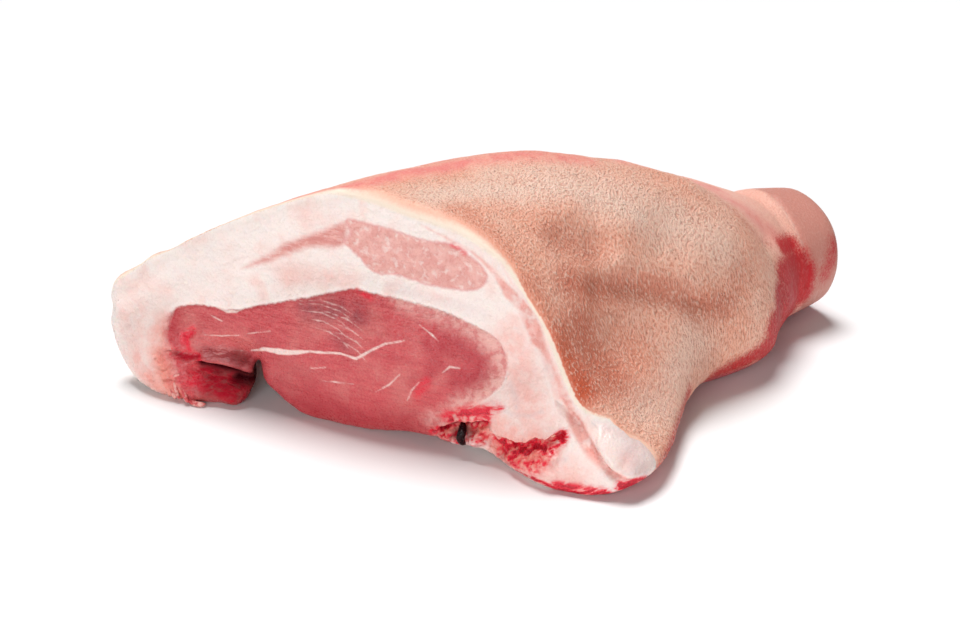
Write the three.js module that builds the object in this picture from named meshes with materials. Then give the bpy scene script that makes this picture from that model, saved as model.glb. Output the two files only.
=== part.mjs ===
// Skin-on pork shoulder joint, lying on its inner side, as one closed solid. Millimetres, +Z up.
//
// The skin is a loft of cross sections, from the rim of the sawn face to the end of the shank. The sawn
// face is a grid of columns that run from the top of that rim to its bottom. While the shape is worked
// out, x runs from the sawn face towards the shank, y from the elbow flap towards the breast lobe, and
// z up from the table. The finished solid is moved so that its origin is the middle of its footprint.
import * as THREE from "three";
import { LoftGeometry } from "three/addons/geometries/LoftGeometry.js";
import { ParametricGeometry } from "three/addons/geometries/ParametricGeometry.js";
import { mergeGeometries } from "three/addons/utils/BufferGeometryUtils.js";
import { ImprovedNoise } from "three/addons/math/ImprovedNoise.js";

// Stations along the joint. crest: y of the ridge. right, left: half widths from the ridge to the elbow
// side and to the breast side. top: height of the ridge. rightBelly, leftBelly: heights of the widest
// lines of the two sides. foot: height of the underside, which the table flattens at zero.
const STATIONS = [
  { x: 0, crest: 153, right: 119, left: 150, top: 129, rightBelly: 34, leftBelly: 46, foot: -5 },
  { x: 51, crest: 128, right: 107, left: 141, top: 129, rightBelly: 34, leftBelly: 44, foot: -5 },
  { x: 98, crest: 91, right: 90, left: 136, top: 128, rightBelly: 32, leftBelly: 42, foot: -5 },
  { x: 144, crest: 53, right: 80, left: 112, top: 110, rightBelly: 24, leftBelly: 40, foot: -6 },
  { x: 186, crest: 30, right: 58, left: 76, top: 91, rightBelly: 22, leftBelly: 38, foot: -6 },
  { x: 219, crest: 9, right: 42, left: 48, top: 74, rightBelly: 28, leftBelly: 36, foot: -4 },
  { x: 248, crest: -10, right: 36, left: 34, top: 70, rightBelly: 33, leftBelly: 36, foot: -1 },
];

// Fullness of a section's quarters at the sawn face and at the shank, across and up: 2 and 2 make an
// ellipse, more is squarer.
const FULLNESS = {
  upperLeft: { face: [1.2, 1.22], shank: [2, 2] },
  upperRight: { face: [2.2, 2.2], shank: [2, 2] },
  lowerRight: { face: [4, 4], shank: [2, 2] },
  lowerLeft: { face: [6, 3], shank: [2, 2] },
};
const FULLNESS_CHANGES = { from: 25, to: 230 };

// The shank turns towards the elbow side.
const TURN = { from: 140, to: 248, degrees: 32 };

// The elbow flap: loose skin that flares out over the table beside the sawn face.
const FLAP = { reach: 72, thickness: 14, height: 62, curve: 1.5, full: 8, gone: 125 };

// Hollows under the sawn face: where they are, how wide, how high, how far back they run, and how far
// they drift towards the breast side for each millimetre back.
const HOLLOWS = [
  { y: 207, width: 7, height: 25, depth: 60, drift: 0.45 },
  { y: 196, width: 12, height: 10, depth: 45, drift: 0.45 },
  { y: 108, width: 28, height: 5, depth: 30, drift: 0 },
  { y: 76, width: 6, height: 5, depth: 24, drift: 0 },
];

// Swellings and dents of the skin: place in plan, half sizes along and across, turn in plan, and height.
const SKIN_FORMS = [
  { x: 36, y: 150, along: 24, across: 24, degrees: 0, height: 2 },
  { x: 67, y: 44, along: 15, across: 11, degrees: 0, height: -4 },
  { x: 78, y: 20, along: 43, across: 9, degrees: -8, height: -4.5 },
  { x: 89, y: 2, along: 22, across: 11, degrees: -5, height: 4.5 },
];
const SHANK_CREASE = { x: 221, width: 4.5, depth: 2.5 };
const SKIN_WAVES = { size: 34, height: 1.6 };
// The skin's forms start over these spans: back from the rim, and up from the table.
const SKIN_STARTS = { back: [0, 12], up: [3, 25] };

// Relief of the sawn face, forwards from the saw cut: place on the face, half sizes, and height.
const FACE_FORMS = [
  { y: 140, z: 45, across: 76, up: 43, height: 7.5 },
  { y: 56, z: 22, across: 43, up: 32, height: 8 },
  { y: 19, z: 0, across: 49, up: 34, height: 18 },
  { y: 256, z: 10, across: 42, up: 40, height: 11 },
  { y: 222, z: 28, across: 26, up: 11, height: -7 },
];
const FACE_LEAN = 7;
const CRAGS = [
  { y: 92, z: 12, across: 20, up: 15, size: 9, height: 4 },
  { y: 44, z: 16, across: 34, up: 16, size: 10, height: 4 },
  { y: 242, z: 14, across: 24, up: 16, size: 11, height: 3 },
];
const FACE_WAVES = { size: 26, height: 1.2 };

// The rim of the sawn face is rounded, and most of all at the breast lobe and the elbow flap.
const RIM = {
  radius: 4,
  lobe: { radius: 10, from: 240, to: 295 },
  flap: { radius: 6, from: 40, to: 5 },
};
const FACE_FADE = 85;

const SHANK_END = { depth: 7, share: 0.9 };

// A section is drawn in four spans, given in degrees: from the breast side over the ridge to the toe of
// the elbow side, and back underneath.
const TOE = 198;
const LEFT_POINTS = 26;
const RIGHT_POINTS = 28;
const SPANS = [
  { from: 0, to: 90, points: LEFT_POINTS },
  { from: 90, to: TOE, points: RIGHT_POINTS },
  { from: TOE, to: 270, points: RIGHT_POINTS },
  { from: 270, to: 360, points: LEFT_POINTS },
];

// Rows down the sawn face, and rings along the joint as [from, to, steps].
const FACE_ROWS = 18;
const RUNS = [
  [0, 6, 4],
  [6, 42, 6],
  [42, 210, 20],
  [210, 236, 7],
  [236, 248, 2],
];
const END_RINGS = 4;

const { degToRad, lerp, smoothstep } = THREE.MathUtils;
const noise = new ImprovedNoise();
const LENGTH = STATIONS.at(-1).x;

// The sizes of a section at any x, by a smooth curve through the stations.
const sizeNames = Object.keys(STATIONS[0]).filter((name) => name !== "x");
const sizeCurve = new THREE.CubicInterpolant(
  STATIONS.map((station) => station.x),
  STATIONS.flatMap((station) => sizeNames.map((name) => station[name])),
  sizeNames.length,
  new Float64Array(sizeNames.length),
);
function sizesAt(x) {
  const values = sizeCurve.evaluate(x);
  return Object.fromEntries(sizeNames.map((name, i) => [name, values[i]]));
}

function fullnessAt(x, onRight, above) {
  const { face, shank } = FULLNESS[(above ? "upper" : "lower") + (onRight ? "Right" : "Left")];
  const share = smoothstep(x, FULLNESS_CHANGES.from, FULLNESS_CHANGES.to);
  return face.map((full, i) => lerp(full, shank[i], share));
}

function flapReachAt(x, z) {
  const low = Math.max(0, 1 - Math.max(z, FLAP.thickness) / FLAP.height);
  return FLAP.reach * (1 - smoothstep(x, FLAP.full, FLAP.gone)) * low ** FLAP.curve;
}

function hollowHeightAt(x, y) {
  return HOLLOWS.reduce((sum, hollow) => {
    const middle = hollow.y + hollow.drift * x;
    const far = ((y - middle) / hollow.width) ** 2 + (x / hollow.depth) ** 2;
    return sum + hollow.height * Math.exp(-far);
  }, 0);
}

// One span of the section at x, as points (y, z).
class SectionSpan extends THREE.Curve {
  constructor(x, from, to) {
    super();
    Object.assign(this, { x, from, to, sizes: sizesAt(x) });
  }

  getPoint(t, target = new THREE.Vector2()) {
    const { crest, right, left, top, rightBelly, leftBelly, foot } = this.sizes;
    const angle = degToRad(lerp(this.from, this.to, t));
    const onRight = Math.cos(angle) < 0;
    const above = Math.sin(angle) > 0;
    const [fullAcross, fullUp] = fullnessAt(this.x, onRight, above);
    const across = Math.abs(Math.cos(angle)) ** (2 / fullAcross);
    const up = Math.abs(Math.sin(angle)) ** (2 / fullUp);
    const belly = onRight ? rightBelly : leftBelly;
    const z = belly + up * ((above ? top : foot) - belly);
    const y = crest + across * (onRight ? -right - flapReachAt(this.x, z) : left);
    return target.set(y, above ? z : Math.max(z, 0, hollowHeightAt(this.x, y)));
  }
}

function rimRadiusAt(y) {
  const lobe = smoothstep(y, RIM.lobe.from, RIM.lobe.to);
  const flap = 1 - smoothstep(y, RIM.flap.to, RIM.flap.from);
  return lerp(lerp(RIM.radius, RIM.lobe.radius, lobe), RIM.flap.radius, flap);
}

// The section's outline at x, each span evenly spaced, and drawn in where it rounds over into the face.
function outlineAt(x) {
  const outline = SPANS.flatMap(({ from, to, points }) =>
    new SectionSpan(x, from, to).getSpacedPoints(points).slice(0, points),
  );
  return outline.map((point, i) => {
    const radius = rimRadiusAt(point.x);
    const short = Math.max(0, radius - x);
    const inset = radius - Math.sqrt(radius ** 2 - short ** 2);
    const before = outline.at(i - 1);
    const after = outline[(i + 1) % outline.length];
    const along = after.clone().sub(before).normalize();
    return new THREE.Vector2(point.x - along.y * inset, point.y + along.x * inset);
  });
}

// How far the sawn face stands back from its saw plane at (y, z).
function faceSetbackAt(y, z) {
  const shareOf = (form) => {
    const far = ((y - form.y) / form.across) ** 2 + ((z - form.z) / form.up) ** 2;
    return Math.max(0, 1 - far) ** 1.5;
  };
  const bulge = FACE_FORMS.reduce((sum, form) => sum + form.height * shareOf(form), 0);
  const crags = CRAGS.reduce(
    (sum, crag) => sum + crag.height * shareOf(crag) * noise.noise(y / crag.size, z / crag.size, 0),
    0,
  );
  const waves = FACE_WAVES.height * noise.noise(y / FACE_WAVES.size, z / FACE_WAVES.size, 0);
  return (FACE_LEAN * z) / STATIONS[0].top - bulge - crags - waves;
}

// A point of the section at x, set into the joint. Towards the shank the sections turn about the ridge.
function placed(x, point) {
  const { crest } = sizesAt(x);
  const turn = degToRad(TURN.degrees) * smoothstep(x, TURN.from, TURN.to);
  const across = point.x - crest;
  const setback = faceSetbackAt(point.x, point.y) * (1 - smoothstep(x, 0, FACE_FADE));
  return new THREE.Vector3(
    x + setback + across * Math.sin(turn),
    crest + across * Math.cos(turn),
    point.y,
  );
}

// The sawn face. Its first column is the tip of the breast lobe and its last the edge of the elbow flap.
function faceGrid() {
  const rim = outlineAt(0);
  const columns = LEFT_POINTS + RIGHT_POINTS;
  const pointAt = (across, up, target) => {
    const column = Math.round(across * columns);
    const top = rim[column];
    const bottom = rim[(rim.length - column) % rim.length];
    return target.copy(placed(0, bottom.clone().lerp(top, up)));
  };
  return new ParametricGeometry(pointAt, columns, FACE_ROWS);
}

// Rings along the skin, from the rim to the shank.
function bodyRings(stops) {
  return stops.map((x) => outlineAt(x).map((point) => placed(x, point)));
}

// Rings that round the shank over and close its sawn end.
function endRings(lastRing) {
  const middle = new THREE.Box3().setFromPoints(lastRing).getCenter(new THREE.Vector3());
  const turn = degToRad(TURN.degrees);
  const outwards = new THREE.Vector3(Math.cos(turn), -Math.sin(turn), 0);
  return Array.from({ length: END_RINGS }, (_, ring) => {
    const share = (SHANK_END.share * (ring + 1)) / END_RINGS;
    const depth = SHANK_END.depth * Math.sqrt(1 - (1 - share) ** 4);
    return lastRing.map((point) =>
      point.clone().lerp(middle, share ** 2).addScaledVector(outwards, depth),
    );
  });
}

// How far the skin stands out at a point of the ring at x.
function skinReliefAt(x, point) {
  const forms = SKIN_FORMS.reduce((sum, form) => {
    const offset = new THREE.Vector2(point.x - form.x, point.y - form.y);
    offset.rotateAround(new THREE.Vector2(), -degToRad(form.degrees));
    const far = (offset.x / form.along) ** 2 + (offset.y / form.across) ** 2;
    return sum + form.height * Math.exp(-far);
  }, 0);
  const crease = SHANK_CREASE.depth * Math.exp(-(((x - SHANK_CREASE.x) / SHANK_CREASE.width) ** 2));
  const spot = point.clone().divideScalar(SKIN_WAVES.size);
  const waves = SKIN_WAVES.height * noise.noise(spot.x, spot.y, spot.z);
  return forms - crease + waves;
}

// Push the rings in and out along their normals. The rim stays, and so does the underside on the table.
function shapeSkin(rings, stops) {
  return rings.map((ring, i) =>
    ring.map((point, j) => {
      const next = rings[Math.min(i + 1, rings.length - 1)][j];
      const alongJoint = next.clone().sub(rings[Math.max(i - 1, 0)][j]);
      const aroundRing = ring[(j + 1) % ring.length].clone().sub(ring.at(j - 1));
      const outwards = aroundRing.cross(alongJoint).normalize();
      const share = smoothstep(stops[i], ...SKIN_STARTS.back) * smoothstep(point.z, ...SKIN_STARTS.up);
      return point.clone().addScaledVector(outwards, share * skinReliefAt(stops[i], point));
    }),
  );
}

const stops = RUNS.flatMap(([from, to, steps]) =>
  Array.from({ length: steps }, (_, step) => lerp(from, to, step / steps)),
);
stops.push(LENGTH);
const skin = shapeSkin(bodyRings(stops), stops);
const loft = new LoftGeometry([...skin, ...endRings(skin.at(-1))], { capEnd: true });
const geometry = mergeGeometries([faceGrid(), loft]);
geometry.computeBoundingBox();
const middle = geometry.boundingBox.getCenter(new THREE.Vector3());
geometry.translate(-middle.x, -middle.y, -geometry.boundingBox.min.z);

const joint = new THREE.Mesh(
  geometry,
  new THREE.MeshStandardMaterial({ color: 0xdfa58f, roughness: 0.45, metalness: 0 }),
);
joint.name = "pork_joint";

const model = new THREE.Group();
model.add(joint);
export default model;
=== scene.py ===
"""Raw skin-on pork shoulder joint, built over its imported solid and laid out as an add-on.

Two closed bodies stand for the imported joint. The flesh carries the sawn face, the underside and the cut
end of the shank. The rind lies over it. Each body dives under the other where the other one shows.
"""

import math

import bmesh
import bpy
import numpy as np
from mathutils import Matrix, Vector
from mathutils.kdtree import KDTree


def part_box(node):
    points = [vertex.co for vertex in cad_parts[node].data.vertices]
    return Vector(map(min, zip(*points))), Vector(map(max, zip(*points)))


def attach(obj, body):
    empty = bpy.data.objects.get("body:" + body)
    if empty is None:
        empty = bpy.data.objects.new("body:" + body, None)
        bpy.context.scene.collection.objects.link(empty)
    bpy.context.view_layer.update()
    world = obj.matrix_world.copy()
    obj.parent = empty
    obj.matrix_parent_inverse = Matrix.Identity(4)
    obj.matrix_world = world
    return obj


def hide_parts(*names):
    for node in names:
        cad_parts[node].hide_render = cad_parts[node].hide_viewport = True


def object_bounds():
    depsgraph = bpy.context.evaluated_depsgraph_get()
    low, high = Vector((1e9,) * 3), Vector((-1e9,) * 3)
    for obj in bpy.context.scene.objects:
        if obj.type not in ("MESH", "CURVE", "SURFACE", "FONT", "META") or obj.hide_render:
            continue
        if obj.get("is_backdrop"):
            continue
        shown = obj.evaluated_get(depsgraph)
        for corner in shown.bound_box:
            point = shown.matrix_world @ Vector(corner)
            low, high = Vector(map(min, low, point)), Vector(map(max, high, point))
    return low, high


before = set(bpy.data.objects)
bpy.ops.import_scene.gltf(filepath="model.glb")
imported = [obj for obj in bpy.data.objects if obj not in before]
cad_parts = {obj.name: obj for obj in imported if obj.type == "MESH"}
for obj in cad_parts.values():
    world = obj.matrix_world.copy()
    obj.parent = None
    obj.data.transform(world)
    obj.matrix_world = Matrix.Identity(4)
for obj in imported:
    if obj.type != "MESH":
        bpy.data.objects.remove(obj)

bl_info = {
    "name": "Pork shoulder joint",
    "version": (1, 0, 0),
    "blender": (4, 5, 0),
    "location": "3D View > Sidebar > Joint",
    "description": "Builds a raw skin-on pork shoulder joint over its packed solid",
    "category": "Object",
}

NODE = "pork_joint"
BODY = "root"
MM = 0.001

# Places are measured in mm from the spot where the plane of the saw cut meets the table under the elbow
# flap: along to the shank, across to the breast lobe, and up.
LOW_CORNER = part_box(NODE)[0]
MEASURED_FROM = Vector(LOW_CORNER) + Vector((17.7, 41.8, 0.0)) * MM

# Outlines on the sawn face, as (across, up) points of closed curves
MAIN_MUSCLE = (
    (258, 36), (254, 48), (239, 53), (221, 53), (198, 61), (173, 70), (150, 78), (137, 78), (114, 77),
    (91, 73), (71, 65), (65, 52), (70, 39), (85, 28), (97, 17), (105, 4), (139, -4), (175, 0), (196, 6),
    (206, 22), (216, 28), (237, 25), (252, 27),
)
FOLD_OF_LEAN = (
    (256, 27), (254, 22), (249, 17), (251, 11), (246, 6), (247, -6), (228, -6), (205, -6), (194, 8),
    (200, 24), (216, 29), (230, 27), (243, 26),
)
UPPER_MUSCLE = (
    (152, 114), (133, 113), (112, 110), (96, 110), (80, 102), (77, 95), (84, 88), (106, 87), (126, 89),
    (137, 88), (147, 95), (154, 101), (151, 107),
)
UPPER_WEDGE = (
    (214, 77), (204, 84), (196, 89), (187, 96), (169, 105), (153, 113), (152, 106), (156, 98), (172, 95),
    (184, 90), (200, 82),
)
KNOB = (
    (21, 33), (17, 31), (16, 25), (12, 20), (5, 14), (-4, 11), (-9, 13), (-8, 19), (-4, 23), (2, 27),
    (10, 31),
)
# The rind starts at this line. It runs outside the joint where the rind only shows as the joint's outline.
SAWN_EDGE = (
    (310, -20), (310, 70), (250, 106), (205, 130), (180, 123), (159, 126), (139, 125), (120, 121), (106, 119),
    (92, 116), (78, 110), (66, 101), (56, 88), (46, 74), (36, 54), (28, 41), (20, 36), (9, 33), (-2, 27),
    (-10, 19), (-14, 8), (-14, -20),
)

# Bands on the sawn face, as (across, up, half width) points
SKIN_MUSCLE = (
    (112, 117, 0.3), (100, 113, 0.5), (87, 109, 0.6), (79, 104, 0.8), (72, 98, 1.5), (66, 91, 3.0),
    (58, 85, 3.4), (53, 78, 4.4), (50, 69, 4.0), (46, 64, 1.4), (42, 58, 0.8), (38, 50, 1.0), (33, 41, 2.4),
    (28, 33, 3.2), (23, 27, 3.0), (17, 22, 3.0), (9, 17, 2.8), (3, 13, 2.6), (-3, 10, 3.0),
)
# Silver skin and fibres, and painted wet glints drawn as short white bands
SINEWS_AND_PAINTED_GLINTS = (
    ((211, 31, 0.4), (200, 36, 1.1), (191, 37, 1.9), (184, 38, 1.6), (171, 42, 0.8), (153, 45, 0.7),
     (144, 44, 0.8)),
    ((144, 44, 0.7), (136, 50, 0.7), (128, 55, 0.6), (118, 58, 0.4)),
    ((167, 26, 0.2), (156, 28, 0.5), (146, 29, 0.2)),
    ((134, 27, 0.2), (126, 33, 0.5), (120, 40, 0.3)),
    ((117, 25, 0.3), (114, 32, 0.6), (110, 37, 0.3)),
    ((98, 44, 0.2), (94, 48, 0.6), (89, 48, 0.3)),
    ((111, 67, 0.2), (104, 63, 0.5), (100, 60, 0.2)),
    ((235, 49, 0.2), (226, 46, 0.4)),
    # Painted glints along the top edge of the main muscle
    ((248, 51, 0.3), (244, 53, 0.8), (241, 53, 0.3)),
    ((229, 53, 0.3), (223, 52, 1.0), (217, 53, 0.6), (212, 56, 0.3)),
    ((236, 37, 0.2), (227, 37, 0.5), (216, 40, 0.2)),
    ((211, 42, 0.2), (196, 47, 0.4)),
    ((172, 32, 0.2), (162, 35, 0.4)),
    # Painted wet highlight between the strip and the rind
    ((71, 105, 0.5), (64, 95, 0.9), (58, 90, 1.1), (51, 82, 0.9), (48, 76, 0.4)),
)
# Fine threads lie evenly between these two paths. They sway by up to this much in mm, in a wave of this many
# radians from the first to the last, and their half widths change with it.
THREADS = 9
FIRST_THREAD = ((179, 67), (166, 70), (154, 69), (143, 65))
LAST_THREAD = ((164, 53), (154, 52), (147, 49), (143, 45))
THREAD_SWAY = np.array((5, 1))
THREAD_WAVE = 23
THREAD_WIDTHS = np.array((0.0, 0.2, 0.25, 0.0))
THREAD_SWELL = np.array((0.0, 0.1, -0.1, 0.0))

# Washes on the sawn face, as (strength, radius, points)
BLOOD = (
    (1.0, 8.0, ((95, 19), (88, 23), (80, 26), (73, 28))),
    (0.8, 5.0, ((74, 30), (66, 33))),
    (1.0, 5.0, ((104, 9), (97, 12), (90, 16), (79, 19), (73, 24))),
    (0.8, 9.0, ((100, 5), (92, 8), (84, 10), (77, 14))),
    (1.3, 6.0, ((68, 13), (61, 14), (56, 13), (50, 15), (45, 18), (38, 20), (32, 25))),
    (0.8, 12.0, ((64, 8), (55, 9), (46, 12), (40, 16))),
    (1.0, 3.0, ((60, 3), (44, 4), (30, 3), (17, 1), (8, 1), (-4, 5))),
    (1.3, 7.0, ((30, 3), (8, 3))),
    (1.3, 5.0, ((0, 8), (-7, 9))),
    (0.8, 5.0, ((243, 39), (247, 35), (245, 29))),
    (0.8, 4.5, ((253, 27), (246, 25), (239, 24))),
    (0.8, 12.0, ((238, 14), (222, 10))),
    (0.4, 7.0, ((250, 17), (246, 8))),
    (0.5, 3.0, ((96, 110), (89, 107))),
    (0.6, 3.0, ((146, 78), (138, 76))),
    (0.5, 6.0, ((106, 38), (112, 30))),
)
# Painted shade: near-black colour in the depths of the fold and the crags
DEEP_SHADE = (
    (1.0, 9.0, ((219, 15), (206, 13))),
    (0.5, 14.0, ((230, 10), (214, 8))),
    (0.4, 7.0, ((220, 26), (210, 24))),
    (0.4, 3.0, ((251, 26), (246, 24), (240, 24))),
    (0.5, 5.0, ((92, 11), (84, 14))),
)
RED_LEAN = (
    (1.0, 13.0, ((97, 59), (89, 58), (80, 54), (78, 46), (88, 42))),
    (0.7, 8.0, ((105, 58), (101, 50), (105, 42), (112, 36))),
    (0.9, 9.0, ((209, 27), (200, 17), (189, 10), (167, 6))),
    # Painted shade: darker along the lower part of the main muscle
    (0.8, 14.0, ((190, 15), (165, 11), (140, 9), (116, 12))),
    (0.5, 12.0, ((203, 40), (186, 28), (168, 22))),
    (0.6, 8.0, ((254, 40), (250, 33))),
)
PURPLE = (
    (0.9, 11.0, ((173, 64), (158, 67), (144, 67))),
    (0.5, 9.0, ((155, 53), (150, 50))),
    # Painted shade: the shaded underside of the roll in the fold
    (0.6, 7.0, ((237, 26), (226, 25), (214, 22))),
)
PALE_GRAIN = (
    (1.0, 12.0, ((122, 80), (101, 76), (84, 71), (69, 60), (66, 49), (73, 36), (88, 27))),
    (0.6, 8.0, ((106, 17), (100, 20), (92, 26))),
)
PINK_FAT = (
    (0.5, 24.0, ((276, 40), (268, 24), (256, 8))),
    (0.9, 14.0, ((274, 18), (266, 10), (258, 4))),
    (1.0, 16.0, ((262, 34), (258, 24), (254, 14), (250, 5))),
    (1.0, 15.0, ((88, 26), (74, 27), (62, 21), (46, 23))),
    (0.9, 18.0, ((60, 10), (40, 12), (20, 6))),
    (0.9, 20.0, ((64, 64), (56, 48), (50, 34))),
    (0.4, 9.0, ((185, 78), (150, 84))),
    (0.4, 12.0, ((268, 57), (262, 54))),
    (0.4, 8.0, ((-2, 20), (-7, 16))),
    (0.8, 7.0, ((48, 68), (42, 56), (36, 44))),
)
TORN = (
    (1.0, 10.0, ((100, 9), (88, 16), (76, 18))),
    (1.0, 12.0, ((66, 10), (52, 12), (40, 17))),
    (1.0, 12.0, ((258, 22), (254, 12), (250, 4), (242, 1))),
    (0.4, 9.0, ((259, 42), (257, 30))),
    (0.6, 10.0, ((266, 10), (256, 3))),
    (0.15, 7.0, ((14, 28), (0, 20))),
)
# Painted shade on the fat: the shaded side of the knob and the creases of the fat
PAINTED_FAT_SHADE = (
    (0.6, 5.0, ((1, 25), (-5, 19), (-8, 14))),
    (0.5, 2.5, ((19, 33), (8, 30), (-1, 25))),
    (0.4, 3.0, ((62, 44), (58, 39), (57, 35))),
    (0.4, 2.0, ((70, 34), (60, 31), (50, 32), (44, 35))),
    (0.3, 4.0, ((46, 62), (42, 52))),
    (0.4, 2.5, ((40, 14), (28, 17))),
    (0.3, 5.0, ((130, 83), (100, 80), (78, 78))),
)

# Dents of the sawn face, as (depth, radius, points), with bulges below 0
FACE_DENTS = (
    (5.0, 6.5, ((240, 18), (230, 17), (222, 15), (208, 12))),
    (-2.5, 9.0, ((240, 6), (222, 5))),
    (-2.0, 5.0, ((236, 26), (226, 25), (214, 23))),
    (2.0, 4.0, ((254, 27), (247, 25), (239, 25))),
    (1.2, 4.0, ((243, 38), (247, 35), (245, 28))),
    (4.0, 5.0, ((90, 12), (86, 7))),
    (5.0, 6.0, ((71, 14), (67, 8))),
    (-1.5, 6.0, ((14, 27), (4, 20))),
    (1.8, 3.0, ((36, 40), (28, 33), (23, 27), (15, 20), (3, 13))),
    (-2.5, 5.0, ((98, 7), (92, 7))),
    (-3.0, 5.0, ((81, 10), (77, 13))),
    (-3.0, 8.0, ((56, 9), (45, 12), (38, 15))),
)
# The knob at the tip of the flap stands out by this height, which it reaches over this span of its edge.
KNOB_HEIGHT = 3.5
KNOB_SPAN = (-1, 4)
# Ledges of the crags and the fold, as (depth, reach, painted shade, painted shade's reach, points): the
# face drops off over the span of the lip under the line and comes back over the reach. The ends run out.
LEDGE_LIP = (-0.6, 0.8)
LEDGE_ENDS = (0, 0.6)
LEDGES = (
    (5.0, 9.0, 0.5, 4.0, ((104, 9), (97, 14), (91, 18), (85, 19), (78, 22), (71, 25))),
    (5.0, 11.0, 0.15, 3.0, ((69, 17), (61, 18), (56, 17), (50, 19), (45, 23), (41, 22), (37, 25), (31, 29))),
    (1.5, 8.0, 1.0, 9.0, ((242, 22), (236, 23), (230, 21), (223, 20), (215, 19), (206, 17))),
)

# Washes on the skin, as (strength, radius, points along, across and up)
FLUSH = (
    (1.0, 14.0, ((188, -18, 57), (204, -21, 54))),
    (1.1, 17.0, ((176, -22, 47), (204, -26, 45))),
    (1.2, 19.0, ((162, -26, 38), (205, -29, 36))),
    (1.2, 20.0, ((152, -29, 28), (203, -29, 26))),
    (1.2, 20.0, ((146, -28, 16), (196, -26, 14))),
    (1.0, 13.0, ((149, -29, 22), (136, -24, 15), (122, -15, 11), (109, -8, 8))),
    (0.35, 7.0, ((159, 15, 97), (154, 5, 93), (158, -5, 83), (165, -11, 73), (176, -16, 64))),
    (0.7, 9.0, ((76, -6, 18), (63, -8, 15), (44, -10, 14), (25, -13, 13), (7, -14, 11))),
    (0.6, 14.0, ((232, -39, 46), (222, -37, 32))),
)
RIDGE_PINK = (
    (1.3, 14.0, ((5, 175, 122), (9, 157, 127), (25, 144, 130), (44, 131, 130), (65, 118, 129))),
    (1.0, 16.0, ((65, 118, 129), (78, 102, 130), (92, 86, 129), (106, 69, 124))),
    (0.8, 12.0, ((124, 53, 118), (150, 40, 106), (165, 22, 97), (182, 16, 89))),
    (0.7, 14.0, ((170, 10, 92), (180, -4, 80), (188, -12, 66))),
    (1.0, 34.0, ((30, 184, 120), (62, 156, 126), (88, 136, 127), (112, 106, 126), (142, 78, 116),
                 (170, 58, 102))),
    (0.7, 70.0, ((40, 210, 95), (110, 150, 95), (180, 80, 80))),
)
TAN = (
    (0.4, 12.0, ((20, 100, 120), (17, 86, 114), (13, 70, 104))),
    (0.5, 18.0, ((9, 58, 93), (6, 46, 74))),
    (1.1, 20.0, ((6, 43, 69), (5, 36, 58), (6, 28, 46))),
    (0.4, 44.0, ((30, 38, 72), (30, 26, 52), (44, 20, 48))),
)
# Paler skin, and painted light on the top of the skin and on the elbow flap
PALE_SKIN_AND_PAINTED_LIGHT = (
    (0.6, 2.5, ((228, -2, 71), (222, -9, 69), (218, -15, 64), (215, -21, 59), (212, -26, 52),
                (210, -29, 44))),
    (0.9, 18.0, ((22, 115, 127), (40, 101, 125), (56, 82, 122), (73, 67, 122), (84, 50, 115),
                 (93, 31, 104))),
    (0.7, 26.0, ((60, 94, 127), (84, 60, 120), (109, 20, 96), (124, 0, 80))),
    (0.6, 22.0, ((26, 4, 30), (44, 0, 28), (60, 0, 29), (76, -1, 34), (87, -1, 42))),
    (1.0, 26.0, ((6, 290, 57), (8, 270, 72), (8, 240, 92), (6, 205, 112))),
)
# Painted shade in the skin's hollows, along its crease and beside the rim
BROWN_SHADE = (
    (0.7, 20.0, ((46, 58, 105), (58, 44, 96))),
    (1.0, 16.0, ((32, 45, 89), (48, 35, 80), (69, 27, 75), (83, 15, 69), (98, -2, 57), (116, -10, 52))),
    (1.0, 22.0, ((23, 35, 69), (22, 29, 55), (24, 20, 46))),
    (0.5, 16.0, ((125, -12, 58), (132, -15, 66))),
)

# Dents of the skin, as (depth, radius, points), with bulges below 0
SKIN_DENTS = (
    (3.2, 18.0, ((50, 54, 102), (62, 42, 95))),
    (3.2, 14.0, ((48, 35, 80), (69, 27, 75), (81, 15, 67), (98, 0, 58))),
    (0.9, 3.5, ((228, -2, 71), (218, -15, 64), (212, -26, 52), (210, -29, 42), (208, -30, 30))),
    (-3.0, 16.0, ((180, -18, 56), (182, -24, 44), (178, -26, 32))),
    (-2.2, 20.0, ((124, 50, 117), (135, 36, 110), (142, 24, 105))),
    (-4.0, 20.0, ((8, 290, 57), (30, 288, 60))),
    (-2.5, 20.0, ((8, 272, 70), (30, 270, 74))),
    (2.5, 12.0, ((4, 296, 42), (20, 298, 40))),
    (-3.5, 14.0, ((4, 207, 16), (25, 206, 14))),
    (-5.0, 12.0, ((2, 217, 6), (20, 217, 6))),
)

# Loose bits at the cut, as (radius, points along, across and up) of round strands
VEIN = ((2.2, ((-1, 88, 18.5), (-3, 86.6, 15), (-3.5, 87.4, 11), (-1, 85.8, 6.5))),)
SHREDS = (
    (1.3, ((-6, 255, 9), (-9, 252, 5), (-9, 250, 1.4))),
    (1.0, ((-7, 251, 13), (-10, 249, 7), (-10, 247, 2))),
    (1.2, ((-8, 246, 9), (-11, 243, 5), (-10, 242, 1.4))),
    (1.5, ((-8, 244, 3), (-10, 238, 1.6), (-9, 232, 1.8))),
    (0.9, ((-6, 257, 15), (-8, 252, 14), (-8, 247, 16))),
)

# How far a surface must turn before it is cut flesh, as parts of its normal, and how fast the flesh then
# shows, in mm for a whole turn
SAWN_TURN = 0.45
UNDER_TURN = 0.45
END_TURN = 0.8
TURN_RATE = 12
# The saw cut reaches this far along, its dents fade out over this span, and the underside reaches this high.
SAWN_REACH = 30
DENT_FADE = (SAWN_REACH, 12)
UNDER_HEIGHT = 9
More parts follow.
